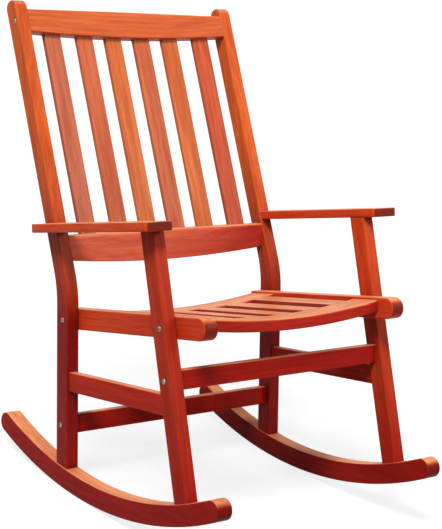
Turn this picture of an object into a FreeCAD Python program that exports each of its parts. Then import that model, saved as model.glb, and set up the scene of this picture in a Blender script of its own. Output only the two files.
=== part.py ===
import FreeCAD, Part
import math
import os

# Slat-back porch rocking chair in oiled hardwood, millimetres.
# The sitter faces -Y, +X is the sitter's left and +Z is up. Every piece is made in
# the level pose, with the rear legs plumb and the centre of the runners' arc over
# y = 0. The finished chair is then rolled back on its runners to where it balances
# empty, and moved so that the origin is on the floor in the middle of its outline.

V = FreeCAD.Vector
os.makedirs("parts", exist_ok=True)

# Frame widths
inner_half_width = 270.0     # middle plane to the inner faces of legs and posts
leg_width = 30.0             # legs and back posts, side to side

# Runners
runner_radius = 948.0        # underside arc
runner_depth = 44.0
runner_margin = 3.5          # runner stands proud of the leg on each side
nose_angle = 20.7            # from straight down to the front tip
tail_angle = 29.4            # from straight down to the rear tip

# Front legs
front_leg_depth = 40.5       # square to the leg's length
front_leg_lean = 11.5        # degrees, the foot is further forward than the top
front_leg_y = -158.0         # leg centre line at the next height
front_leg_z = 304.0

# Back posts: a nearly plumb lower leg and a leaning upper part
post_low_depth = 41.0
post_low_lean = 1.4          # degrees, leans forward on its way up
post_foot_y = 195.5          # front face of the lower leg, carried down to the floor
post_top_depth = 37.5
back_lean = 17.7             # degrees, upper post, slats and top rail
back_y = 232.0               # front plane of the upper posts at the next height
back_z = 600.0
post_top_s = 498.0           # end of the post, measured along the lean from back_z
post_bend_radius = 220.0

# Both back rails are bowed to the rear, and the back slats stand along the bow
back_hollow = 11.5           # the rails' middle lies this far behind their ends

# Top back rail, measured along the lean from back_z
top_rail_bottom = 424.0      # at its ends
top_rail_top = 474.5         # at its ends
top_rail_crown = 5.5         # extra height in the middle, above and below
top_rail_thick = 25.0
top_rail_setback = 1.0

# Lower back rail, plumb
low_rail_front = 219.5
low_rail_thick = 26.0
low_rail_top = 565.0
low_rail_bottom = 511.0      # at its ends
low_rail_belly = 14.0        # extra depth in the middle of the lower edge
low_rail_round = 7.0         # rounded upper front edge

# Back slats
slat_width = 44.0
slat_thick = 11.0
slat_setback = 11.0          # behind the posts' front plane
slat_end_gap = 41.5          # between the outer slat and the post
slat_outer_gap = 44.0        # between the outer slat and its neighbour
slat_tenon_thick = 7.0
slat_tenon_shoulder = 3.0    # the tenon is narrower than the slat by this on each edge
slat_tenon_top = 15.0
slat_tenon_low = 20.0

# Seat, built level in its own frame and then tilted
seat_tilt = 3.3              # degrees, the front is higher
seat_top_z = 421.0           # upper edge of the side rails above the origin
side_rail_thick = 33.0
side_rail_height = 45.0
side_rail_front = -247.0
side_rail_rear = 222.0
board_thick = 25.0
board_drop = 4.7             # board ends below the side rails' upper edges
seat_sag = 17.0              # hollow of the seat, ends to middle
front_board_front = -202.0
front_board_rear = -127.0
rear_board_front = 141.0
rear_board_rear = 220.0
board_ease = 5.0             # rounded upper front edge of the front board
seat_slat_count = 6
seat_slat_gap = 34.0
seat_slat_end_gap = 20.0     # between the outer slat and the side rail
seat_slat_thick = 14.0
seat_tenon_thick = 7.0
seat_tenon_shoulder = 5.0
seat_tenon_long = 14.0

# Armrests
arm_slope = 4.0              # degrees, falling to the rear
arm_z = 590.0                # underside over the origin
arm_thick = 19.0
arm_inner_setback = 2.0      # arm's inner edge, outside the leg's inner face
arm_width = 68.0
arm_front = -154.0
arm_rear = 262.0
arm_corner = 9.0             # front corners in plan
arm_rear_corner = 6.0

# Stretchers
stretcher_thick = 20.0
side_stretcher_top = 276.0
side_stretcher_height = 42.0
front_stretcher_top = 324.0
front_stretcher_height = 40.0
front_stretcher_y = -154.0
rear_stretcher_top = 179.0
rear_stretcher_height = 41.0
rear_stretcher_y = 217.0
side_tenon_thick = 12.0
side_tenon_shoulder = 6.0
side_tenon_long = 22.0

# Fastenings
bolt_dia = 6.0
bolt_head_dia = 12.0
bolt_head_high = 3.2
bolt_socket = 4.0            # across the flats of the hexagon socket
bolt_socket_deep = 2.0
bolt_in_rail = 20.0          # from the inner face of a leg to the barrel nut's centre
bolt_past_nut = 6.0
nut_dia = 10.0
nut_long = 14.0
dowel_dia = 8.0
dowel_half = 18.0            # half a dowel's length
board_dowel_half = 14.0      # shorter, to miss the slats' tongues
runner_dowel_dia = 10.0
screw_dia = 5.0
screw_head_dia = 10.0
screw_head_high = 4.0
plug_dia = 12.0
plug_deep = 6.0
runner_screw_grip = 30.0     # length of screw in the foot
arm_leg_grip = 42.0          # length of screw in the leg's end
arm_post_grip = 21.0         # length of screw in the post

# Weights, kilograms per litre
wood_density = 0.6
steel_density = 7.85

# Fits and eased edges
joint_gap = 0.1              # glue line round tenons and dowels
bore_gap = 0.2               # play round bolts, nuts and screws
ease = 2.5                   # hand-sanded edges
slat_ease = 2.0
round_flat = 1.0             # flat left in the middle of a rounded end
overrun = 1.0                # how far a cut runs past the surface
foot_rise = 20.0             # runner's upper face at a foot, over its lowest point
right_angle = 90.0

# Worked out from the sizes above
outer_half_width = inner_half_width + leg_width
leg_middle = inner_half_width + leg_width / 2
runner_inner = inner_half_width - runner_margin
runner_width = leg_width + 2 * runner_margin
runner_top_radius = runner_radius - runner_depth
seat_inner = inner_half_width - side_rail_thick
seat_radius = (seat_inner ** 2 + seat_sag ** 2) / (2 * seat_sag)
back_radius = (inner_half_width ** 2 + back_hollow ** 2) / (2 * back_hollow)
seat_slat_room = 2 * (seat_inner - seat_slat_end_gap) - (seat_slat_count - 1) * seat_slat_gap
seat_slat_width = seat_slat_room / seat_slat_count
slat_room = inner_half_width - slat_end_gap - slat_outer_gap - 3 * slat_width
slat_middle_gap = slat_room / 1.5   # among the four middle slats, one and a half gaps a side
arm_inner = inner_half_width + arm_inner_setback
arm_outer = arm_inner + arm_width
tiny = 0.01


def tangent(degrees):
    return math.tan(math.radians(degrees))


def tilted(origin, degrees):
    """Placement whose upright axis leans to the rear by the given angle."""
    return FreeCAD.Placement(origin, FreeCAD.Rotation(V(1, 0, 0), -degrees))


back_frame = tilted(V(0, back_y, back_z), back_lean)
seat_frame = tilted(V(0, 0, seat_top_z), seat_tilt)
arm_frame = tilted(V(0, 0, arm_z), arm_slope)


def moved(shape, placement):
    shape = shape.copy()
    shape.transformShape(placement.toMatrix(), True)
    return shape


def box(x0, x1, y0, y1, z0, z1):
    return Part.makeBox(x1 - x0, y1 - y0, z1 - z0, V(x0, y0, z0))


def rod(start, end, dia):
    axis = end - start
    return Part.makeCylinder(dia / 2, axis.Length, start, axis)


def mirrored(shape):
    return shape.mirror(V(0, 0, 0), V(1, 0, 0))


def both_sides(shapes):
    return list(shapes) + [mirrored(shape) for shape in shapes]


def rounded_face(corners):
    """Face inside a closed outline of (point, corner radius) pairs."""
    edges = []
    arrive = []
    leave = []
    count = len(corners)
    for i, (point, radius) in enumerate(corners):
        before = corners[i - 1][0] - point
        after = corners[(i + 1) % count][0] - point
        before.normalize()
        after.normalize()
        if radius == 0:
            arrive.append(point)
            leave.append(point)
            edges.append(None)
            continue
        half_angle = before.getAngle(after) / 2
        reach = radius / math.tan(half_angle)
        bisector = before + after
        bisector.normalize()
        middle = point + bisector * (radius / math.sin(half_angle) - radius)
        arrive.append(point + before * reach)
        leave.append(point + after * reach)
        edges.append(Part.Arc(arrive[i], middle, leave[i]).toShape())
    outline = []
    for i in range(count):
        if edges[i] is not None:
            outline.append(edges[i])
        start = leave[i]
        end = arrive[(i + 1) % count]
        if start.distanceToPoint(end) > tiny:
            outline.append(Part.LineSegment(start, end).toShape())
    return Part.Face(Part.Wire(outline))


def side_slab(corners, x0, x1):
    """Board lying in the YZ plane, from (y, z, corner radius) triples."""
    face = rounded_face([(V(x0, y, z), radius) for y, z, radius in corners])
    return face.extrude(V(x1 - x0, 0, 0))


def eased(shape, radius, chosen):
    edges = [edge for edge in shape.Edges if chosen(edge)]
    return shape.makeFillet(radius, edges)


def on_side_faces(edge):
    """True for the edges round a slab's two side faces."""
    return edge.BoundBox.XLength < tiny


def lengthwise_x(edge):
    """True for a straight or bowed edge that runs across the chair."""
    return edge.BoundBox.XLength > max(edge.BoundBox.YLength, edge.BoundBox.ZLength)


def lengthwise_y(edge):
    return edge.BoundBox.YLength > max(edge.BoundBox.XLength, edge.BoundBox.ZLength)


def lengthwise_z(edge):
    return edge.BoundBox.ZLength > max(edge.BoundBox.XLength, edge.BoundBox.YLength)


def cut(shape, tools):
    """Shape without the tools, as one clean solid."""
    for tool in tools:
        shape = shape.cut(tool)
    return shape.removeSplitter()


def meet(point_a, lean_a, point_b, lean_b):
    """Height and depth where two leaning lines of the side view cross."""
    slope_a = tangent(lean_a)
    slope_b = tangent(lean_b)
    z = (point_b[0] - point_a[0] + slope_a * point_a[1] - slope_b * point_b[1]) / (slope_a - slope_b)
    return point_a[0] + slope_a * (z - point_a[1]), z


def back_point(n, s):
    """Side-view point, n behind the posts' front plane and s up the lean."""
    point = back_frame.multVec(V(0, n, s))
    return point.y, point.z


def post_face_y(z, behind):
    """Depth of the lower post's front face (behind 0) or a plane behind it."""
    return post_foot_y - tangent(post_low_lean) * z + behind / math.cos(math.radians(post_low_lean))


def leg_face_y(z, behind):
    """Depth of the front leg's centre plane, or of a plane behind it."""
    centre = front_leg_y + tangent(front_leg_lean) * (z - front_leg_z)
    return centre + behind / math.cos(math.radians(front_leg_lean))


# Dowels and bolts are listed once, and the holes for them are cut from the same lists

def dowel(centre, axis, dia, half_long):
    step = V(axis) * half_long
    return rod(centre - step, centre + step, dia)


def dowel_hole(centre, axis, dia, half_long):
    return dowel(centre, axis, dia + 2 * joint_gap, half_long + overrun)


X = V(1, 0, 0)
Y = V(0, 1, 0)
Z = V(0, 0, 1)

top_rail_n = top_rail_setback + top_rail_thick / 2
top_rail_s = (top_rail_bottom + top_rail_top) / 2
front_stretcher_z = front_stretcher_top - front_stretcher_height / 2
rear_stretcher_z = rear_stretcher_top - rear_stretcher_height / 2


def seat_rail_point(level_y):
    """Middle of the seat rail's height, where a leg's centre line crosses it."""
    return seat_frame.multVec(V(inner_half_width, level_y, -side_rail_height / 2))


# Each bolt: its point on the leg's inner face, the side that its barrel nut went in
# from, and how deep the rail is that way
seat_rail_mid_z = seat_top_z - side_rail_height / 2
top_rail_bolt = (back_frame.multVec(V(inner_half_width, top_rail_n, top_rail_s)),
                 back_frame.Rotation.multVec(Y), top_rail_thick + back_hollow)
post_seat_bolt = (seat_rail_point(post_face_y(seat_rail_mid_z, post_low_depth / 2)),
                  seat_frame.Rotation.multVec(Z * -1), side_rail_height)
leg_seat_bolt = (seat_rail_point(leg_face_y(seat_rail_mid_z, 0)),
                 seat_frame.Rotation.multVec(Z * -1), side_rail_height)
front_stretcher_bolt = (V(inner_half_width, front_stretcher_y, front_stretcher_z), Y, stretcher_thick)
rear_stretcher_bolt = (V(inner_half_width, rear_stretcher_y, rear_stretcher_z), Y, stretcher_thick)
bolts = [top_rail_bolt, post_seat_bolt, leg_seat_bolt, front_stretcher_bolt, rear_stretcher_bolt]


def bolt(place):
    """Round-headed bolt with a hexagon socket, driven from the outside."""
    seat = V(outer_half_width, place[0].y, place[0].z)
    tip = -(leg_width + bolt_in_rail + bolt_past_nut)
    half_head = bolt_head_dia / 2
    dome_radius = (half_head ** 2 + bolt_head_high ** 2) / (2 * bolt_head_high)
    turn = math.asin(half_head / dome_radius) / 2
    dome_x = bolt_head_high - dome_radius * (1 - math.cos(turn))
    dome_top = V(bolt_head_high, 0, 0)
    dome = Part.Arc(V(0, half_head, 0), V(dome_x, dome_radius * math.sin(turn), 0), dome_top)
    corners = [dome_top, V(tip, 0, 0), V(tip, bolt_dia / 2, 0), V(0, bolt_dia / 2, 0), V(0, half_head, 0)]
    half_section = Part.Face(Part.Wire([dome.toShape()] + Part.makePolygon(corners).Edges))
    blank = half_section.revolve(V(0, 0, 0), X, 360)
    corner = bolt_socket / math.sqrt(3)
    floor = bolt_head_high - bolt_socket_deep
    turns = [math.radians(60 * i) for i in range(7)]
    outline = [V(floor, corner * math.cos(turn), corner * math.sin(turn)) for turn in turns]
    socket = Part.Face(Part.makePolygon(outline)).extrude(X * bolt_head_high)
    return moved(blank.cut(socket), FreeCAD.Placement(seat, FreeCAD.Rotation()))


def bolt_hole(place):
    """Clear hole for the shank, through the leg and past the barrel nut."""
    point = place[0]
    start = point - X * (bolt_in_rail + bolt_past_nut + overrun)
    return rod(start, V(outer_half_width + overrun, point.y, point.z), bolt_dia + 2 * bore_gap)


def barrel_nut(place):
    point, entry, rail_depth = place
    centre = point - X * bolt_in_rail
    half = entry * (nut_long / 2)
    thread = rod(centre - X * nut_dia, centre + X * nut_dia, bolt_dia)
    return rod(centre - half, centre + half, nut_dia).cut(thread)


def nut_hole(place):
    """Blind bore from the hidden side of the rail, square to the bolt."""
    point, entry, rail_depth = place
    centre = point - X * bolt_in_rail
    start = centre - entry * (nut_long / 2 + bore_gap)
    return rod(start, centre + entry * (rail_depth / 2 + overrun), nut_dia + 2 * bore_gap)


# Runner dowels stand in line with the leg they carry; a screw holds from below

def foot_joint(centre_line, lean, spread):
    """Centre and axis of a foot joint on the runner's upper face."""
    z = runner_radius - math.sqrt(runner_top_radius ** 2 - centre_line ** 2)
    axis = V(0, math.sin(math.radians(lean)), math.cos(math.radians(lean)))
    across = V(0, axis.z, -axis.y)
    return V(leg_middle, centre_line, z) + across * spread, axis


front_foot_y = leg_face_y(runner_depth + foot_rise, 0)
rear_foot_y = post_face_y(runner_depth + foot_rise, post_low_depth / 2)
foot_spread = 12.0
feet = [(front_foot_y, front_leg_lean), (rear_foot_y, -post_low_lean)]
runner_dowels = []
for foot_y, lean in feet:
    for spread in (-foot_spread, foot_spread):
        runner_dowels.append(foot_joint(foot_y, lean, spread))


def screw(head, axis, length):
    """Countersunk wood screw; the axis points from head to tip."""
    tip = head + axis * length
    cone = Part.makeCone(screw_head_dia / 2, screw_dia / 2, screw_head_high, head, axis)
    return rod(head + axis * (screw_head_high / 2), tip, screw_dia).fuse(cone).removeSplitter()


def screw_hole(head, axis, length):
    tip = head + axis * (length + overrun)
    wide = screw_head_dia / 2 + bore_gap
    thin = screw_dia / 2 + bore_gap
    cone = Part.makeCone(wide, thin, screw_head_high, head, axis)
    return rod(head, tip, 2 * thin).fuse(cone)


runner_screws = []
for foot_y, lean in feet:
    joint, axis = foot_joint(foot_y, lean, 0)
    in_runner = runner_depth - screw_head_high
    runner_screws.append((joint - axis * in_runner, axis, in_runner + runner_screw_grip))


# Arm fastenings: one screw down into the leg, one sideways into the post

arm_leg_y = leg_face_y(arm_z, 0)
arm_down = arm_frame.Rotation.multVec(V(0, 0, -1))
arm_leg_head = arm_frame.multVec(V(leg_middle, arm_leg_y, arm_thick - plug_deep))
arm_post_n = post_top_depth / 2
arm_post_s = (arm_z - back_z) / math.cos(math.radians(back_lean))
arm_post_centre = back_frame.multVec(V(0, arm_post_n, arm_post_s))
arm_local = arm_frame.inverse().multVec(arm_post_centre)
arm_post_head = arm_frame.multVec(V(arm_outer - plug_deep, arm_local.y, arm_thick / 2))
arm_leg_screw_long = arm_thick - plug_deep + arm_leg_grip
arm_post_screw_long = arm_outer - plug_deep - outer_half_width + arm_post_grip
arm_screws = [(arm_leg_head, arm_down, arm_leg_screw_long), (arm_post_head, X * -1, arm_post_screw_long)]


def plug(head, axis, length):
    """Plug over a screw's head; the length is the screw's."""
    return rod(head, head - axis * plug_deep, plug_dia)


def plug_hole(head, axis, length):
    return rod(head, head - axis * (plug_deep + overrun), plug_dia + 2 * joint_gap)


# Dowels beside the bolts stop the cross rails from turning
top_rail_dowel_s = 15.0
stretcher_dowel_z = 12.0
low_rail_dowel_z = 13.0
board_dowel_y = 30.0         # middle of a pair of dowels, behind the board's front edge
board_dowel_spread = 15.0
board_dowel_z = 14.0         # below the upper edge of the board's ends

cross_dowels = []
for offset in (-top_rail_dowel_s, top_rail_dowel_s):
    cross_dowels.append(back_frame.multVec(V(inner_half_width, top_rail_n, top_rail_s + offset)))
low_rail_mid_z = (low_rail_top + low_rail_bottom) / 2
low_rail_mid_y = low_rail_front + low_rail_thick / 2
for offset in (-low_rail_dowel_z, low_rail_dowel_z):
    cross_dowels.append(V(inner_half_width, low_rail_mid_y, low_rail_mid_z + offset))
for offset in (-stretcher_dowel_z, stretcher_dowel_z):
    cross_dowels.append(V(inner_half_width, front_stretcher_y, front_stretcher_z + offset))
    cross_dowels.append(V(inner_half_width, rear_stretcher_y, rear_stretcher_z + offset))

board_dowels = []
for front in (front_board_front, rear_board_front):
    for offset in (-board_dowel_spread, board_dowel_spread):
        y = front + board_dowel_y + offset
        z = -board_drop - board_dowel_z
        board_dowels.append(seat_frame.multVec(V(seat_inner, y, z)))


def cross_holes(places, half_long):
    return [dowel_hole(place, X, dowel_dia, half_long) for place in places]


# Pieces of the sitter's left side; the right side is the mirror image

def runner():
    """Curved runner with full-round ends, concentric above and below."""
    centre = V(runner_inner, 0, runner_radius)
    middle_radius = runner_radius - runner_depth / 2
    cap = math.degrees(runner_depth / 2 / middle_radius)

    def at(radius, degrees):
        turn = math.radians(degrees)
        return centre + V(0, radius * math.sin(turn), -radius * math.cos(turn))

    def arc(*points):
        return Part.Arc(*[at(radius, degrees) for radius, degrees in points]).toShape()

    nose = -nose_angle + cap
    tail = tail_angle - cap
    middle = (nose + tail) / 2
    low = runner_radius
    high = runner_top_radius
    edges = [
        arc((low, nose), (low, middle), (low, tail)),
        arc((low, tail), (middle_radius, tail_angle), (high, tail)),
        arc((high, tail), (high, middle), (high, nose)),
        arc((high, nose), (middle_radius, -nose_angle), (low, nose)),
    ]
    blank = Part.Face(Part.Wire(edges)).extrude(V(runner_width, 0, 0))
    blank = eased(blank, ease, on_side_faces)
    holes = [dowel_hole(place, axis, runner_dowel_dia, dowel_half) for place, axis in runner_dowels]
    for head, axis, length in runner_screws:
        holes.append(screw_hole(head, axis, length))
        holes.append(rod(head, head - axis * runner_depth, screw_head_dia + 2 * bore_gap))
    return cut(blank, holes)


def runner_top_space():
    """Everything above the runner's upper face, to cope the feet to it."""
    wide = runner_width + 2 * ease
    centre = V(runner_inner - ease, 0, runner_radius)
    return Part.makeCylinder(runner_top_radius, wide, centre, X)


def side_tenon_box(extra):
    """Side stretcher's tenon section, grown by extra on each face."""
    x0 = leg_middle - side_tenon_thick / 2 - extra
    x1 = leg_middle + side_tenon_thick / 2 + extra
    z1 = side_stretcher_top - side_tenon_shoulder + extra
    z0 = side_stretcher_top - side_stretcher_height + side_tenon_shoulder - extra
    middle = (z0 + z1) / 2
    front = leg_face_y(middle, front_leg_depth / 2) - side_tenon_long - extra
    rear = post_face_y(middle, 0) + side_tenon_long + extra
    return box(x0, x1, front, rear, z0, z1)


def front_leg():
    """Straight leaning leg, coped to the runner and cut under the arm."""
    half = front_leg_depth / 2
    below = runner_depth
    front_top = meet((leg_face_y(0, -half), 0), front_leg_lean, (0, arm_z), right_angle + arm_slope)
    rear_top = meet((leg_face_y(0, half), 0), front_leg_lean, (0, arm_z), right_angle + arm_slope)
    corners = [
        (leg_face_y(below, -half), below, 0),
        (leg_face_y(below, half), below, 0),
        (rear_top[0], rear_top[1], 0),
        (front_top[0], front_top[1], 0),
    ]
    blank = side_slab(corners, inner_half_width, outer_half_width)
    blank = eased(blank, ease, lengthwise_z)
    blank = blank.common(runner_top_space())
    holes = [dowel_hole(place, axis, runner_dowel_dia, dowel_half) for place, axis in runner_dowels]
    holes += [screw_hole(*place) for place in runner_screws + arm_screws]
    holes += [bolt_hole(place) for place in bolts]
    holes += cross_holes(cross_dowels, dowel_half)
    holes.append(side_tenon_box(joint_gap))
    return cut(blank, holes)


def back_post():
    """One piece from runner to dome, bent back above the seat."""
    below = runner_depth
    front_knee = meet((post_foot_y, 0), -post_low_lean, (back_y, back_z), back_lean)
    rear_at_foot = post_face_y(0, post_low_depth)
    rear_knee = meet((rear_at_foot, 0), -post_low_lean, back_point(post_top_depth, 0), back_lean)
    dome = (post_top_depth - round_flat) / 2
    corners = [
        (post_face_y(below, 0), below, 0),
        (post_face_y(below, post_low_depth), below, 0),
        (rear_knee[0], rear_knee[1], post_bend_radius),
        back_point(post_top_depth, post_top_s) + (dome,),
        back_point(0, post_top_s) + (dome,),
        (front_knee[0], front_knee[1], post_bend_radius),
    ]
    blank = side_slab(corners, inner_half_width, outer_half_width)
    blank = eased(blank, ease, lambda edge: on_side_faces(edge) and edge.BoundBox.ZMax > below + overrun)
    blank = blank.common(runner_top_space())
    holes = [dowel_hole(place, axis, runner_dowel_dia, dowel_half) for place, axis in runner_dowels]
    holes += [screw_hole(*place) for place in runner_screws + arm_screws]
    holes += [bolt_hole(place) for place in bolts]
    holes += cross_holes(cross_dowels, dowel_half)
    holes.append(side_tenon_box(joint_gap))
    return cut(blank, holes)


def armrest():
    """Flat arm on the leg's end, notched so that it also grips the post."""
    corners = [
        (V(arm_inner, arm_front, 0), arm_corner),
        (V(arm_outer, arm_front, 0), arm_corner),
        (V(arm_outer, arm_rear, 0), arm_rear_corner),
        (V(arm_inner, arm_rear, 0), 0),
    ]
    blank = rounded_face(corners).extrude(V(0, 0, arm_thick))
    blank = eased(blank, ease, lambda edge: edge.BoundBox.ZLength < tiny)
    blank = moved(blank, arm_frame)
    reach = 2 * post_top_depth
    notch = box(inner_half_width - reach, outer_half_width, 0, reach + post_top_depth, -reach, reach)
    notch = moved(notch, back_frame)
    holes = [screw_hole(*place) for place in arm_screws]
    holes += [plug_hole(*place) for place in arm_screws]
    return cut(blank, [notch] + holes)


def seat_side_rail():
    """Rail on the inner faces of leg and post, with a full-round nose."""
    nose = (side_rail_height - round_flat) / 2
    corners = [
        (side_rail_front, -side_rail_height, nose),
        (side_rail_rear, -side_rail_height, 0),
        (side_rail_rear, 0, 0),
        (side_rail_front, 0, nose),
    ]
    blank = side_slab(corners, seat_inner, inner_half_width)
    blank = eased(blank, ease, on_side_faces)
    blank = moved(blank, seat_frame)
    holes = [bolt_hole(place) for place in bolts]
    holes += [nut_hole(place) for place in (post_seat_bolt, leg_seat_bolt)]
    holes += cross_holes(board_dowels, board_dowel_half)
    return cut(blank, holes)


def side_stretcher():
    """Plain rail tenoned into the front leg and the back post."""
    x0 = leg_middle - stretcher_thick / 2
    z1 = side_stretcher_top
    z0 = z1 - side_stretcher_height
    half = front_leg_depth / 2
    corners = [
        (leg_face_y(z0, half), z0, 0),
        (post_face_y(z0, 0), z0, 0),
        (post_face_y(z1, 0), z1, 0),
        (leg_face_y(z1, half), z1, 0),
    ]
    blank = side_slab(corners, x0, x0 + stretcher_thick)
    blank = eased(blank, ease, lengthwise_y)
    return blank.fuse(side_tenon_box(0)).removeSplitter()


# Pieces that cross the chair

def seat_curve_z(x):
    """Height of the hollow seat at x, in the seat's own frame."""
    drop = math.sqrt(seat_radius ** 2 - x ** 2) - math.sqrt(seat_radius ** 2 - seat_inner ** 2)
    return -board_drop - drop


def seat_board(front, rear, front_ease):
    """Hollowed board between the side rails, of even thickness."""
    def arc(z_shift, reverse):
        ends = [V(-seat_inner, front, seat_curve_z(seat_inner) + z_shift)]
        ends.append(V(seat_inner, front, seat_curve_z(seat_inner) + z_shift))
        middle = V(0, front, seat_curve_z(0) + z_shift)
        if reverse:
            ends.reverse()
        return Part.Arc(ends[0], middle, ends[1]).toShape()

    top = arc(0, False)
    bottom = arc(-board_thick, True)
    right = Part.LineSegment(top.Vertexes[-1].Point, bottom.Vertexes[0].Point).toShape()
    left = Part.LineSegment(bottom.Vertexes[-1].Point, top.Vertexes[0].Point).toShape()
    blank = Part.Face(Part.Wire([top, right, bottom, left])).extrude(V(0, rear - front, 0))

    def upper_front(edge):
        return edge.BoundBox.YMax < front + tiny and edge.BoundBox.ZMax > -board_drop - tiny

    def others(edge):
        high = edge.BoundBox.ZMax > -board_drop - tiny
        return lengthwise_x(edge) and (edge.BoundBox.YMin > rear - tiny or not high)
    blank = eased(blank, front_ease, lambda edge: lengthwise_x(edge) and upper_front(edge))
    return eased(blank, ease, others)


def seat_slat_frame(i):
    """Where slat i lies on the hollow: its middle and its sideways tilt."""
    x = (i - (seat_slat_count - 1) / 2) * (seat_slat_width + seat_slat_gap)
    tilt = math.degrees(math.asin(x / seat_radius))
    return FreeCAD.Placement(V(x, 0, seat_curve_z(abs(x))), FreeCAD.Rotation(V(0, 1, 0), -tilt))


def seat_slat_tenons(i, extra):
    half = seat_slat_width / 2 - seat_tenon_shoulder + extra
    middle = -seat_slat_thick / 2
    z0 = middle - seat_tenon_thick / 2 - extra
    z1 = middle + seat_tenon_thick / 2 + extra
    front = front_board_rear - seat_tenon_long - extra
    rear = rear_board_front + seat_tenon_long + extra
    return moved(box(-half, half, front, rear, z0, z1), seat_slat_frame(i))


def seat_slat(i):
    """Board running front to back, tongued into both cross boards."""
    half = seat_slat_width / 2
    blank = box(-half, half, front_board_rear, rear_board_front, -seat_slat_thick, 0)
    blank = eased(blank, slat_ease, lengthwise_y)
    blank = moved(blank, seat_slat_frame(i)).fuse(seat_slat_tenons(i, 0))
    return moved(blank.removeSplitter(), seat_frame)


def finished_seat_board(front, rear, front_ease):
    mortises = [seat_slat_tenons(i, joint_gap) for i in range(seat_slat_count)]
    blank = moved(cut(seat_board(front, rear, front_ease), mortises), seat_frame)
    return cut(blank, both_sides(cross_holes(board_dowels, board_dowel_half)))


def slat_places():
    """Middles of the six back slats, from the sitter's right to left."""
    inner = (slat_width + slat_middle_gap) / 2
    second = inner + slat_width + slat_middle_gap
    outer = second + slat_width + slat_outer_gap
    return [-outer, -second, -inner, inner, second, outer]


def slat_ends():
    """Slat shoulders along the lean: on the lower rail and under the top rail."""
    low = (low_rail_top - back_z) / math.cos(math.radians(back_lean))
    return low, top_rail_bottom


def slat_frame(x):
    """Where the slat at x stands on the bow of the back, turned toward the middle."""
    turn = math.asin(x / back_radius)
    sink = back_hollow - back_radius * (1 - math.cos(turn))
    on_bow = FreeCAD.Placement(V(x, sink, 0), FreeCAD.Rotation(Z, -math.degrees(turn)))
    return back_frame.multiply(on_bow)


def back_slat_tenons(extra):
    low, high = slat_ends()
    half = slat_width / 2 - slat_tenon_shoulder + extra
    middle = slat_setback + slat_thick / 2
    n0 = middle - slat_tenon_thick / 2 - extra
    n1 = middle + slat_tenon_thick / 2 + extra
    return box(-half, half, n0, n1, low - slat_tenon_low - extra, high + slat_tenon_top + extra)


def slat_mortises():
    """Room for the tenons of all back slats, in both back rails."""
    return [moved(back_slat_tenons(joint_gap), slat_frame(x)) for x in slat_places()]


def back_slat(x):
    """Flat upright slat, shouldered on the lower rail and the top rail."""
    low, high = slat_ends()
    reach = low_rail_thick
    half = slat_width / 2
    blank = box(-half, half, slat_setback, slat_setback + slat_thick, low - reach, high + reach)
    blank = eased(blank, slat_ease, lengthwise_z)
    blank = moved(blank, slat_frame(x))
    front = low_rail_front - reach
    rear = low_rail_front + 2 * reach
    low_space = box(x - slat_width, x + slat_width, front, rear, low_rail_top - 2 * reach, low_rail_top)
    blank = blank.cut(low_space).cut(top_rail_blank(False))
    tenons = moved(back_slat_tenons(0), slat_frame(x))
    return blank.fuse(tenons).removeSplitter()


def bowed_plank(front, thick, z0, z1):
    """Plank of a back rail, bowed to the rear, with its ends' front faces at the given depth."""
    half = inner_half_width
    rear = front + thick
    near = Part.Arc(V(-half, front, z0), V(0, front + back_hollow, z0), V(half, front, z0)).toShape()
    far = Part.Arc(V(half, rear, z0), V(0, rear + back_hollow, z0), V(-half, rear, z0)).toShape()
    left = Part.LineSegment(V(half, front, z0), V(half, rear, z0)).toShape()
    right = Part.LineSegment(V(-half, rear, z0), V(-half, front, z0)).toShape()
    return Part.Face(Part.Wire([near, left, far, right])).extrude(V(0, 0, z1 - z0))


def top_rail_blank(round_edges):
    """Crowned and bowed rail in the plane of the back, without its holes."""
    n0 = top_rail_setback - overrun
    low_ends = top_rail_bottom
    low_mid = top_rail_bottom - top_rail_crown
    high_ends = top_rail_top
    high_mid = top_rail_top + top_rail_crown
    span = inner_half_width
    low_arc = Part.Arc(V(-span, n0, low_ends), V(0, n0, low_mid), V(span, n0, low_ends)).toShape()
    high_arc = Part.Arc(V(span, n0, high_ends), V(0, n0, high_mid), V(-span, n0, high_ends)).toShape()
    left = Part.LineSegment(V(span, n0, low_ends), V(span, n0, high_ends)).toShape()
    right = Part.LineSegment(V(-span, n0, high_ends), V(-span, n0, low_ends)).toShape()
    crowned = Part.Face(Part.Wire([low_arc, left, high_arc, right]))
    crowned = crowned.extrude(V(0, top_rail_thick + back_hollow + 2 * overrun, 0))
    plank = bowed_plank(top_rail_setback, top_rail_thick, low_mid - overrun, high_mid + overrun)
    blank = crowned.common(plank)
    if round_edges:
        blank = eased(blank, ease, lengthwise_x)
    return moved(blank, back_frame)


def top_back_rail():
    holes = [bolt_hole(top_rail_bolt), nut_hole(top_rail_bolt)]
    holes += cross_holes(cross_dowels, dowel_half)
    return cut(top_rail_blank(True), slat_mortises() + both_sides(holes))


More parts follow.
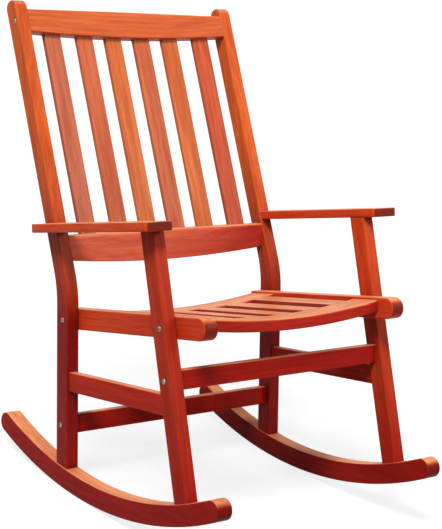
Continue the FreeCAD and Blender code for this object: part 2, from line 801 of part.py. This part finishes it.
def low_rail_blank():
    span = inner_half_width
    y = low_rail_front - overrun
    bottom_mid = low_rail_bottom - low_rail_belly
    arc = Part.Arc(V(-span, y, low_rail_bottom), V(0, y, bottom_mid), V(span, y, low_rail_bottom)).toShape()
    left = Part.LineSegment(V(span, y, low_rail_bottom), V(span, y, low_rail_top)).toShape()
    top = Part.LineSegment(V(span, y, low_rail_top), V(-span, y, low_rail_top)).toShape()
    right = Part.LineSegment(V(-span, y, low_rail_top), V(-span, y, low_rail_bottom)).toShape()
    bellied = Part.Face(Part.Wire([arc, left, top, right]))
    bellied = bellied.extrude(V(0, low_rail_thick + back_hollow + 2 * overrun, 0))
    plank = bowed_plank(low_rail_front, low_rail_thick, bottom_mid - overrun, low_rail_top + overrun)
    blank = bellied.common(plank)

    def upper_front(edge):
        return edge.BoundBox.ZMin > low_rail_top - tiny and edge.BoundBox.YMin < low_rail_mid_y

    def lower(edge):
        return lengthwise_x(edge) and edge.BoundBox.ZMin < low_rail_bottom
    blank = eased(blank, low_rail_round, lambda edge: lengthwise_x(edge) and upper_front(edge))
    return eased(blank, ease, lower)


def lower_back_rail():
    """Plumb bowed rail with a bellied lower edge and a rounded upper front edge."""
    return cut(low_rail_blank(), slat_mortises() + both_sides(cross_holes(cross_dowels, dowel_half)))


def cross_stretcher(height, place):
    """Straight stretcher between the two legs of a pair, centred on its bolt."""
    y = place[0].y
    z = place[0].z
    half = stretcher_thick / 2
    blank = box(-inner_half_width, inner_half_width, y - half, y + half, z - height / 2, z + height / 2)
    blank = eased(blank, ease, lengthwise_x)
    holes = [bolt_hole(place), nut_hole(place)] + cross_holes(cross_dowels, dowel_half)
    return cut(blank, both_sides(holes))


# Every piece by its node's name, in the level pose

pieces = {}


def add_pair(name, shape):
    pieces[name + "_left"] = [shape]
    pieces[name + "_right"] = [mirrored(shape)]


add_pair("runner", runner())
add_pair("front_leg", front_leg())
add_pair("back_post", back_post())
add_pair("armrest", armrest())
add_pair("seat_side_rail", seat_side_rail())
add_pair("side_stretcher", side_stretcher())
pieces["seat_front_board"] = [finished_seat_board(front_board_front, front_board_rear, board_ease)]
pieces["seat_rear_board"] = [finished_seat_board(rear_board_front, rear_board_rear, ease)]
for i in range(seat_slat_count):
    pieces["seat_slat_%d" % (i + 1)] = [seat_slat(i)]
pieces["top_back_rail"] = [top_back_rail()]
pieces["lower_back_rail"] = [lower_back_rail()]
for i, x in enumerate(slat_places()):
    pieces["back_slat_%d" % (i + 1)] = [back_slat(x)]
pieces["front_stretcher"] = [cross_stretcher(front_stretcher_height, front_stretcher_bolt)]
pieces["rear_stretcher"] = [cross_stretcher(rear_stretcher_height, rear_stretcher_bolt)]
frame_dowels = [dowel(place, X, dowel_dia, dowel_half) for place in cross_dowels]
seat_board_dowels = [dowel(place, X, dowel_dia, board_dowel_half) for place in board_dowels]
foot_dowels = [dowel(place, axis, runner_dowel_dia, dowel_half) for place, axis in runner_dowels]
pieces["frame_dowels"] = both_sides(frame_dowels)
pieces["seat_board_dowels"] = both_sides(seat_board_dowels)
pieces["runner_dowels"] = both_sides(foot_dowels)
pieces["arm_plugs"] = both_sides([plug(*place) for place in arm_screws])

metal = {}
metal["frame_bolts"] = both_sides([bolt(place) for place in bolts])
metal["barrel_nuts"] = both_sides([barrel_nut(place) for place in bolts])
metal["runner_screws"] = both_sides([screw(*place) for place in runner_screws])
metal["arm_screws"] = both_sides([screw(*place) for place in arm_screws])


def centre_of_mass():
    mass = 0.0
    moment = V(0, 0, 0)
    for group, density in ((pieces, wood_density), (metal, steel_density)):
        for solid in Part.makeCompound(sum(group.values(), [])).Solids:
            mass += density * solid.Volume
            moment += solid.CenterOfMass * (density * solid.Volume)
    return moment * (1 / mass)


def standing_place():
    """Rolls the level chair back to its balance and centres its outline."""
    centre = centre_of_mass()
    roll = math.degrees(math.atan2(centre.y, runner_radius - centre.z))
    turn = FreeCAD.Rotation(X, -roll)
    axle = V(0, 0, runner_radius)
    rolled = FreeCAD.Placement(axle, turn).multiply(FreeCAD.Placement(axle * -1, FreeCAD.Rotation()))
    front = moved(pieces["runner_left"][0], rolled).optimalBoundingBox(False).YMin
    rear = moved(pieces["back_post_left"][0], rolled).optimalBoundingBox(False).YMax
    middle = V(0, -(front + rear) / 2, 0)
    print("rolled back by %.3f degrees, then moved by %.3f mm" % (roll, middle.y))
    return FreeCAD.Placement(middle, FreeCAD.Rotation()).multiply(rolled)


standing = standing_place()
for name, solids in {**pieces, **metal}.items():
    shape = solids[0] if len(solids) == 1 else Part.makeCompound(solids)
    moved(shape, standing).exportStep("parts/" + name + ".step")
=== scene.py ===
import math

import bpy
import numpy
from mathutils import Matrix, Vector

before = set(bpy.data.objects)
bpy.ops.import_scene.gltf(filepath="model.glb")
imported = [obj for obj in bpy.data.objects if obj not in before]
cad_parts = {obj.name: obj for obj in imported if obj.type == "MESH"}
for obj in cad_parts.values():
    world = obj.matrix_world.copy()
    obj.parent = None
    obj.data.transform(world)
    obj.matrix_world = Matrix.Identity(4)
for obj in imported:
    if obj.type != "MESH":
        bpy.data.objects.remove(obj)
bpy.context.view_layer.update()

# Runners: two long rockers sawn to a curve out of hardwood plank, their ends rounded
# and their edges eased with a router. They are stained deep red and oiled. Their tops
# are painted paler, a painted top light and sheen.
runner_red = (0.36, 0.010, 0.005)
# Pale colour of the painted top light and sheen on upward faces, also the colour of worn edges
painted_top_light_and_wear = (0.90, 0.345, 0.145)


def add(tree, kind, feeds=None, **settings):
    """Adds a shader node. feeds gives its sockets a value or the output of another node."""
    made = tree.nodes.new("ShaderNode" + kind)
    for name, value in settings.items():
        setattr(made, name, value)
    for socket, value in (feeds or {}).items():
        if isinstance(value, bpy.types.NodeSocket):
            tree.links.new(value, made.inputs[socket])
        else:
            made.inputs[socket].default_value = value
    return made


def tint(tree, amount, below, above, how="MIX"):
    """Lays one colour over another; amount, below and above are values or outputs."""
    made = add(tree, "Mix", data_type="RGBA", blend_type=how)
    for socket, value in ((0, amount), (6, below), (7, above)):
        if isinstance(value, bpy.types.NodeSocket):
            tree.links.new(value, made.inputs[socket])
        elif socket == 0:
            made.inputs[socket].default_value = value
        else:
            made.inputs[socket].default_value = (*value, 1)
    return made.outputs[2]


def stretch(tree, value, low, high, to_low=0.0, to_high=1.0):
    """Stretches the part of a value from low to high over to_low to to_high."""
    feeds = {"Value": value, 1: low, 2: high, 3: to_low, 4: to_high}
    return add(tree, "MapRange", feeds).outputs["Result"]


def combine(tree, how, one, other):
    return add(tree, "Math", {0: one, 1: other}, operation=how).outputs[0]


def along(node):
    """The way a piece of timber is longest, which is the way its grain runs."""
    points = numpy.array([v.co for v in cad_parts[node].data.vertices])
    way = Vector(numpy.linalg.eigh(numpy.cov(points.T))[1][:, -1])
    return way if max(way, key=abs) > 0 else -way


# Shares of red, green and blue that are left where the wood has darkened; the share in corners is painted
# shade
deeper = (0.55, 0.34, 0.34)
at_board_ends = (0.26, 0.15, 0.20)
painted_corner_shade = (0.40, 0.20, 0.20)

# How fine the marks of the grain are, and how far they are drawn out along the board
ring_scale = 34
streak_scale = 95
pore_scale = 620
patch_scale = 17
streak_draw = 0.07
pore_draw = 0.035

# Where the first board's pith lies, and how far on it is for each further board
first_pith = Vector((0.11, 0.07, 0))
pith_step = Vector((0.013, 0.031, 0.57))

# Metres
rubbed_edge = 0.0025
corner_reach = 0.08
relief_deep = 0.0004


def timber(name, grain, board, tone, other=None, fade=None, gloss=0.2, ends=0.85):
    """Oiled hardwood cut from one board: growth rings round a pith beside the board,
    streaks and pores along the grain, dark end grain, painted shade in the corners,
    rubbed edges and a top painted paler as painted top light and sheen.
    The tone can turn into another one between two places along X, Y or Z."""
    material = bpy.data.materials.new(name)
    material.use_nodes = True
    tree = material.node_tree
    surface = tree.nodes["Principled BSDF"]
    place = add(tree, "TexCoord")
    turn = grain.rotation_difference(Vector((0, 0, 1))).to_euler()
    pith = first_pith + pith_step * board
    lie = add(tree, "Mapping", {"Vector": place.outputs["Object"], "Location": pith, "Rotation": turn})
    lie = lie.outputs[0]
    drawn = add(tree, "Mapping", {"Vector": lie, "Scale": (1, 1, streak_draw)}).outputs[0]
    fine = add(tree, "Mapping", {"Vector": lie, "Scale": (1, 1, pore_draw)}).outputs[0]
    feeds = {"Vector": lie, "Scale": ring_scale, "Distortion": 5, "Detail": 3, "Detail Scale": 0.5}
    rings = add(tree, "TexWave", feeds, wave_type="RINGS", rings_direction="Z").outputs[1]
    feeds = {"Vector": drawn, "Scale": streak_scale, "Detail": 6, "Roughness": 0.62}
    streaks = add(tree, "TexNoise", feeds).outputs[0]
    feeds = {"Vector": fine, "Scale": pore_scale, "Detail": 3, "Roughness": 0.55}
    pores = stretch(tree, add(tree, "TexNoise", feeds).outputs[0], 0.6, 0.74)
    patches = add(tree, "TexNoise", {"Vector": drawn, "Scale": patch_scale, "Detail": 2}).outputs[0]

    upward = add(tree, "SeparateXYZ", {0: place.outputs["Normal"]}).outputs["Z"]
    colour = tone
    if other:
        axis, start, end = fade
        spot = add(tree, "SeparateXYZ", {0: place.outputs["Object"]}).outputs[axis]
        colour = tint(tree, stretch(tree, spot, start, end), tone, other)
    # Painted top light and sheen: faces that look upward are painted paler
    colour = tint(tree, stretch(tree, upward, 0.6, 0.92), colour, painted_top_light_and_wear)
    deep = tint(tree, 1, colour, deeper, "MULTIPLY")
    marks = (
        (patches, 0.35, 0.7, 0.5),
        (streaks, 0.42, 0.68, 0.65),
        (rings, 0.55, 1.0, 0.28),
        (pores, 0, 1, 0.6),
    )
    for mark, faint, full, most in marks:
        colour = tint(tree, stretch(tree, mark, faint, full, 0.0, most), colour, deep)

    facing = add(tree, "VectorMath", {0: place.outputs["Normal"], 1: grain}, operation="DOT_PRODUCT")
    across = combine(tree, "ABSOLUTE", facing.outputs["Value"], 0)
    end_tone = tint(tree, 1, tone, at_board_ends, "MULTIPLY")
    colour = tint(tree, stretch(tree, across, 0.6, 0.95, 0.0, ends), colour, end_tone)
    # Painted shade: ambient occlusion darkens corners, joints and the gaps between slats
    open_air = add(tree, "AmbientOcclusion", {"Distance": corner_reach}, samples=6).outputs["AO"]
    painted_shade = tint(tree, 1, colour, painted_corner_shade, "MULTIPLY")
    colour = tint(tree, stretch(tree, open_air, 0.8, 0.3, 0.0, 0.75), colour, painted_shade)
    shape = add(tree, "NewGeometry").outputs["True Normal"]
    eased = add(tree, "Bevel", {"Radius": rubbed_edge}, samples=4).outputs[0]
    turned = add(tree, "VectorMath", {0: eased, 1: shape}, operation="DOT_PRODUCT").outputs["Value"]
    worn = combine(tree, "MULTIPLY", stretch(tree, turned, 0.98, 0.8), stretch(tree, streaks, 0.35, 0.6))
    # Rubbed edges wear pale
    colour = tint(tree, stretch(tree, worn, 0, 1, 0.0, 0.4), colour, painted_top_light_and_wear)

    relief = combine(tree, "SUBTRACT", streaks, pores)
    bump = add(tree, "Bump", {"Height": relief, "Strength": 0.35, "Distance": relief_deep}).outputs[0]
    matt = combine(tree, "MAXIMUM", streaks, pores)
    tree.links.new(colour, surface.inputs["Base Color"])
    tree.links.new(stretch(tree, matt, 0.3, 0.9, 0.36, 0.6), surface.inputs["Roughness"])
    tree.links.new(bump, surface.inputs["Normal"])
    surface.inputs["Specular IOR Level"].default_value = gloss
    return material


def finish(node, material):
    """Gives a CAD piece its finish."""
    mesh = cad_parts[node].data
    mesh.materials.clear()
    mesh.materials.append(material)


for side, board in (("left", 1), ("right", 2)):
    node = "runner_" + side
    finish(node, timber(node, along(node), board, runner_red, gloss=0.07, ends=0.55))

# Front legs: straight hardwood legs that lean forward down to the runners and stand
# on two dowels and a screw. Their feet are as deep red as the runners, partly a deeper
# stain and partly painted shade.
leg_red = (0.40, 0.013, 0.006)
leg_orange = (0.62, 0.056, 0.016)
paler_leg_orange = (0.76, 0.090, 0.018)
for side, board, top in (("left", 3, paler_leg_orange), ("right", 4, leg_orange)):
    node = "front_leg_" + side
    finish(node, timber(node, along(node), board, leg_red, top, ("Z", 0.12, 0.55), gloss=0.08))

# Back posts: each one is a single bent post sawn from a wide plank, plumb below the
# seat and leaning above it, with a domed top. Low down they are deep red, partly a
# deeper stain and partly painted shade, and they turn orange further up.
post_red = (0.30, 0.008, 0.004)
post_orange = (0.87, 0.165, 0.030)
for side, board in (("left", 5), ("right", 6)):
    node = "back_post_" + side
    finish(node, timber(node, along(node), board, post_red, post_orange, ("Z", 0.35, 0.74), gloss=0.1))

# Stretchers: thin rails between the legs. The side ones have tongues in mortises, the
# front and rear ones are bolted and dowelled.
side_stretcher_red = (0.52, 0.024, 0.008)
cross_stretcher_red = (0.44, 0.013, 0.006)
for side, board in (("left", 7), ("right", 8)):
    node = "side_stretcher_" + side
    finish(node, timber(node, along(node), board, side_stretcher_red, gloss=0.08))
for end, board in (("front", 9), ("rear", 10)):
    node = end + "_stretcher"
    finish(node, timber(node, along(node), board, cross_stretcher_red, gloss=0.08))

# Seat side rails: the thick rails that carry the seat, bolted inside the legs and
# posts, with a rounded nose in front.
rail_orange = (0.78, 0.072, 0.016)
for side, board in (("left", 11), ("right", 12)):
    node = "seat_side_rail_" + side
    finish(node, timber(node, along(node), board, rail_orange, gloss=0.12, ends=1.0))

# Seat boards: two cross boards sawn hollow along their upper edges, dowelled between
# the side rails.
board_red = (0.48, 0.022, 0.009)
for end, board in (("front", 13), ("rear", 14)):
    node = f"seat_{end}_board"
    finish(node, timber(node, along(node), board, board_red, gloss=0.08))

# Seat slats: six flat hardwood slats from front to back, tilted to follow the hollow
# of the seat. Their tongues sit in mortises in the front and rear boards.
seat_orange = (0.46, 0.055, 0.018)
for count in range(1, 7):
    node = f"seat_slat_{count}"
    finish(node, timber(node, along(node), 14 + count, seat_orange))

# Back rails: a crowned rail between the tops of the posts and a bellied one behind the
# sitter's hips, both sawn to a bow. The lower one gets darker and redder towards the
# sitter's left, a painted shadow of the post and arm on that end.
top_rail_orange = (0.84, 0.170, 0.036)
low_rail_orange = (0.86, 0.190, 0.088)
low_rail_painted_shadow = (0.56, 0.030, 0.014)
finish("top_back_rail", timber("top_back_rail", along("top_back_rail"), 21, top_rail_orange))
finish("lower_back_rail", timber(
    "lower_back_rail", along("lower_back_rail"), 22, low_rail_orange, low_rail_painted_shadow, ("X", -0.06, 0.26)))

# Back slats: six flat slats between the back rails, each from another board, so each
# has its own tone, a little deeper towards the seat.
slat_tones = (
    (0.66, 0.170, 0.078), (0.78, 0.185, 0.066), (0.78, 0.195, 0.046),
    (0.70, 0.165, 0.056), (0.78, 0.190, 0.042), (0.66, 0.105, 0.032),
)
slat_foot_share = 0.82
for count, tone in enumerate(slat_tones, 1):
    node = f"back_slat_{count}"
    low_tone = tuple(slat_foot_share * part for part in tone)
    finish(node, timber(node, along(node), 22 + count, low_tone, tone, ("Z", 0.55, 0.80)))

# Armrests: flat hardwood boards with rounded corners, notched round the posts. Each one
# is screwed down into its front leg and sideways into its post.
arm_orange = (0.74, 0.082, 0.016)
for side, board in (("left", 29), ("right", 30)):
    node = "armrest_" + side
    finish(node, timber(node, along(node), board, arm_orange, gloss=0.12, ends=1.0))

# Plugs and dowels: small round pieces of the same and of a paler wood. The plugs
# cover the screws of the arms, the dowels are inside the joints.
plug_brown = (0.60, 0.095, 0.030)
dowel_pale = (0.72, 0.50, 0.28)
finish("arm_plugs", timber("arm_plugs", Vector((0, 1, 0)), 31, plug_brown))
for count, node in enumerate(("frame_dowels", "seat_board_dowels", "runner_dowels")):
    finish(node, timber(node, Vector((1, 0, 0)), 32 + count, dowel_pale))

# Bolts, nuts and screws: turned steel with a dull zinc coat, the round bolt heads
# driven by a hexagon key.
zinc_pale = (0.30, 0.27, 0.25)
zinc_dark = (0.12, 0.10, 0.09)
zinc_roughness = 0.35
cloud_scale = 260
grit_scale = 2600
grit_deep = 0.0001


def plated(name):
    """Zinc-plated steel, cloudy, with a fine grit."""
    material = bpy.data.materials.new(name)
    material.use_nodes = True
    tree = material.node_tree
    surface = tree.nodes["Principled BSDF"]
    place = add(tree, "TexCoord").outputs["Object"]
    cloud = add(tree, "TexNoise", {"Vector": place, "Scale": cloud_scale, "Detail": 4}).outputs[0]
    grit = add(tree, "TexNoise", {"Vector": place, "Scale": grit_scale, "Detail": 2}).outputs[0]
    zinc = tint(tree, stretch(tree, cloud, 0.4, 0.65), zinc_pale, zinc_dark)
    tree.links.new(zinc, surface.inputs["Base Color"])
    worn_zinc = stretch(tree, cloud, 0.3, 0.7, zinc_roughness, zinc_roughness + 0.2)
    tree.links.new(worn_zinc, surface.inputs["Roughness"])
    bump = add(tree, "Bump", {"Height": grit, "Strength": 0.2, "Distance": grit_deep}).outputs[0]
    tree.links.new(bump, surface.inputs["Normal"])
    surface.inputs["Metallic"].default_value = 1
    return material


for node in ("frame_bolts", "barrel_nuts", "runner_screws", "arm_screws"):
    finish(node, plated(node))

# Studio: a pale floor and a white surround. Seen from the camera, one broad lamp
# stands high at the left, and a soft box at the right gives the back slats their sheen.
floor_tone = (0.24, 0.24, 0.24)
floor_patch = (0.22, 0.22, 0.22)
floor_reach = 30
floor_glow = 0.80
mottle_scale = 3.0
sky_fill = 0.17
key_strength = 3.3
key_softness = math.radians(20)
key_toward = (0.46, 0.30, -0.835)
box_place = Vector((2.1, -2.3, 2.4))
box_aim = Vector((0, 0.2, 0.75))
box_side = 1.3
box_watts = 36


def seen_white(tree):
    """Is 1 where the camera, a reflection or glass looks."""
    rays = add(tree, "LightPath").outputs
    part = combine(tree, "MAXIMUM", rays["Is Camera Ray"], rays["Is Glossy Ray"])
    return combine(tree, "MAXIMUM", part, rays["Is Transmission Ray"])


corners = [(x * floor_reach, y * floor_reach, 0) for x, y in ((-1, -1), (1, -1), (1, 1), (-1, 1))]
floor_mesh = bpy.data.meshes.new("studio_floor")
floor_mesh.from_pydata(corners, [], [(0, 1, 2, 3)])
floor = bpy.data.objects.new("studio_floor", floor_mesh)
bpy.context.scene.collection.objects.link(floor)

paint = bpy.data.materials.new("studio_floor")
paint.use_nodes = True
tree = paint.node_tree
surface = tree.nodes["Principled BSDF"]
mottle = add(tree, "TexNoise", {"Scale": mottle_scale}).outputs[0]
tree.links.new(
    tint(tree, stretch(tree, mottle, 0.3, 0.7), floor_tone, floor_patch), surface.inputs["Base Color"])
surface.inputs["Roughness"].default_value = 0.9
surface.inputs["Specular IOR Level"].default_value = 0.1
surface.inputs["Emission Color"].default_value = (1, 1, 1, 1)
tree.links.new(stretch(tree, seen_white(tree), 0, 1, 0.0, floor_glow), surface.inputs["Emission Strength"])
floor_mesh.materials.append(paint)

world = bpy.data.worlds.new("studio")
bpy.context.scene.world = world
world.use_nodes = True
tree = world.node_tree
tree.nodes["Background"].inputs["Color"].default_value = (1, 1, 1, 1)
sky = tree.nodes["Background"].inputs["Strength"]
tree.links.new(stretch(tree, seen_white(tree), 0, 1, sky_fill, 1.0), sky)


def hang(light, place, toward):
    """Hangs a lamp so that its light travels toward the given direction."""
    holder = bpy.data.objects.new(light.name, light)
    holder.location = place
    holder.rotation_euler = Vector(toward).to_track_quat("-Z", "Y").to_euler()
    bpy.context.scene.collection.objects.link(holder)


sun = bpy.data.lights.new("key", "SUN")
sun.energy = key_strength
sun.angle = key_softness
hang(sun, (0, 0, 3), key_toward)

soft_box = bpy.data.lights.new("soft_box", "AREA")
soft_box.shape = "SQUARE"
soft_box.size = box_side
soft_box.energy = box_watts
hang(soft_box, box_place, box_aim - box_place)

# Camera: the chair stands at its empty balance, rolled back on its runners from the
# level place that it has in the photograph, so the camera leans back with it.
lean = math.radians(11.119)
arc_height = 0.948
moved_back = 0.032238
level_place = Vector((-2.1754, -2.6624, 0.8586))
level_view = Vector((0.6240, 0.7747, -0.1028))
level_up = Vector((0.0645, 0.0801, 0.9947))
back = -level_view.normalized()
right = level_up.cross(back).normalized()
stand = Matrix((right, back.cross(right), back)).transposed().to_4x4()
rolled = (
    Matrix.Translation((0, moved_back, arc_height))
    @ Matrix.Rotation(-lean, 4, "X")
    @ Matrix.Translation((0, 0, -arc_height))
)
camera = bpy.data.objects.new("camera", bpy.data.cameras.new("camera"))
camera.matrix_world = rolled @ Matrix.Translation(level_place) @ stand
camera.data.lens = 109.9
camera.data.sensor_width = 36
bpy.context.scene.collection.objects.link(camera)
bpy.context.scene.camera = camera
bpy.context.scene.view_settings.view_transform = "Standard"
